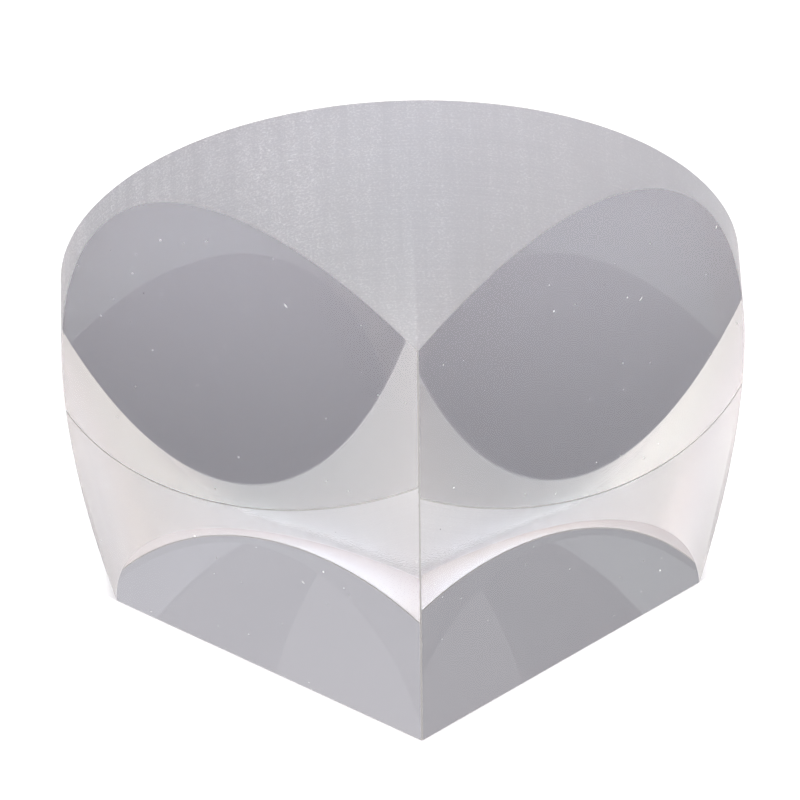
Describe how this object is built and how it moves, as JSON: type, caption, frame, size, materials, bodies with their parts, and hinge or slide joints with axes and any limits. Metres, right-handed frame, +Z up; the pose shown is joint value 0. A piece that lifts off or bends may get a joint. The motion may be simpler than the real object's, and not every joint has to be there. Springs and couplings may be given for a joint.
{
  "type": "corner cube prism",
  "caption": "Solid glass corner cube retroreflector: three polished facets, square to each other, meeting at an apex, a ground cylindrical wall and a flat round entrance face.",
  "frame": {"origin": "middle of the underside of the bounding box, with the prism lying on one facet", "axes": "+Z up, away from the facet it rests on; +X along the prism's widest direction, across the plane of symmetry; -Y the side on which the two side facets meet in an upright edge; the optical axis points to +Y and up, 35.26 degrees above the ground"},
  "size_m": [0.0508, 0.0456, 0.0427],
  "materials": {
    "optical_glass": "crown optical glass, facets and entrance face polished and uncoated, wall fine ground, narrow bevels on every edge"
  },
  "bodies": {
    "root": {"corner_cube_prism": "optical_glass"}
  },
  "joints": []
}
